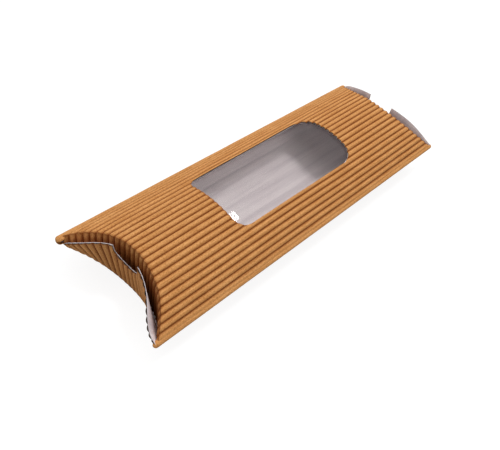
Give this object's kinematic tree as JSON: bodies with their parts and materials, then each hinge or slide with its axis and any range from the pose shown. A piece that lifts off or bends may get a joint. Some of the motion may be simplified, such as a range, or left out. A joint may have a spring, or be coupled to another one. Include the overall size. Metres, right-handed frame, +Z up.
{
  "type": "pillow box",
  "caption": "Pillow box of fluted kraft board: two bowed panels, curved end flaps that swing on creases, thumb notches and a clear window in the top.",
  "frame": {"origin": "under the middle of the box, on the surface that it stands on", "axes": "+X along the box to its far end, +Y to its left side, +Z up"},
  "size_m": [0.2358, 0.0782, 0.0348],
  "materials": {
    "kraft_fluting": "matte kraft paper, ridged",
    "white_liner": "matte white paper",
    "clear_film": "clear, glossy",
    "adhesive": "dried white glue"
  },
  "bodies": {
    "carton": {"top_panel_fluting": "kraft_fluting", "top_panel_liner": "white_liner", "bottom_panel_fluting": "kraft_fluting", "bottom_panel_liner": "white_liner", "left_side_fold": "kraft_fluting", "right_side_fold": "kraft_fluting", "glue_tab_fluting": "kraft_fluting", "glue_tab_liner": "white_liner", "seam_adhesive": "adhesive", "window_film": "clear_film", "window_film_adhesive": "adhesive"},
    "near_outer_flap": {"near_outer_flap_fluting": "kraft_fluting", "near_outer_flap_liner": "white_liner"},
    "near_inner_flap": {"near_inner_flap_fluting": "kraft_fluting", "near_inner_flap_liner": "white_liner"},
    "far_outer_flap": {"far_outer_flap_fluting": "kraft_fluting", "far_outer_flap_liner": "white_liner"},
    "far_inner_flap": {"far_inner_flap_fluting": "kraft_fluting", "far_inner_flap_liner": "white_liner"}
  },
  "joints": [
    {"name": "near_outer_flap_crease", "type": "hinge", "parent": "carton", "child": "near_outer_flap", "pos_m": [-0.1001, 0, -0.00062], "axis": [0, -1, 0], "range_deg": [-1.5, 70]},
    {"name": "near_inner_flap_crease", "type": "hinge", "parent": "carton", "child": "near_inner_flap", "pos_m": [-0.0986, 0, 0.03253], "axis": [0, -1, 0], "range_deg": [-2, 75]},
    {"name": "far_outer_flap_crease", "type": "hinge", "parent": "carton", "child": "far_outer_flap", "pos_m": [0.1001, 0, -0.00062], "axis": [0, 1, 0], "range_deg": [-1.5, 70]},
    {"name": "far_inner_flap_crease", "type": "hinge", "parent": "carton", "child": "far_inner_flap", "pos_m": [0.0986, 0, 0.03253], "axis": [0, 1, 0], "range_deg": [-2, 75]}
  ]
}
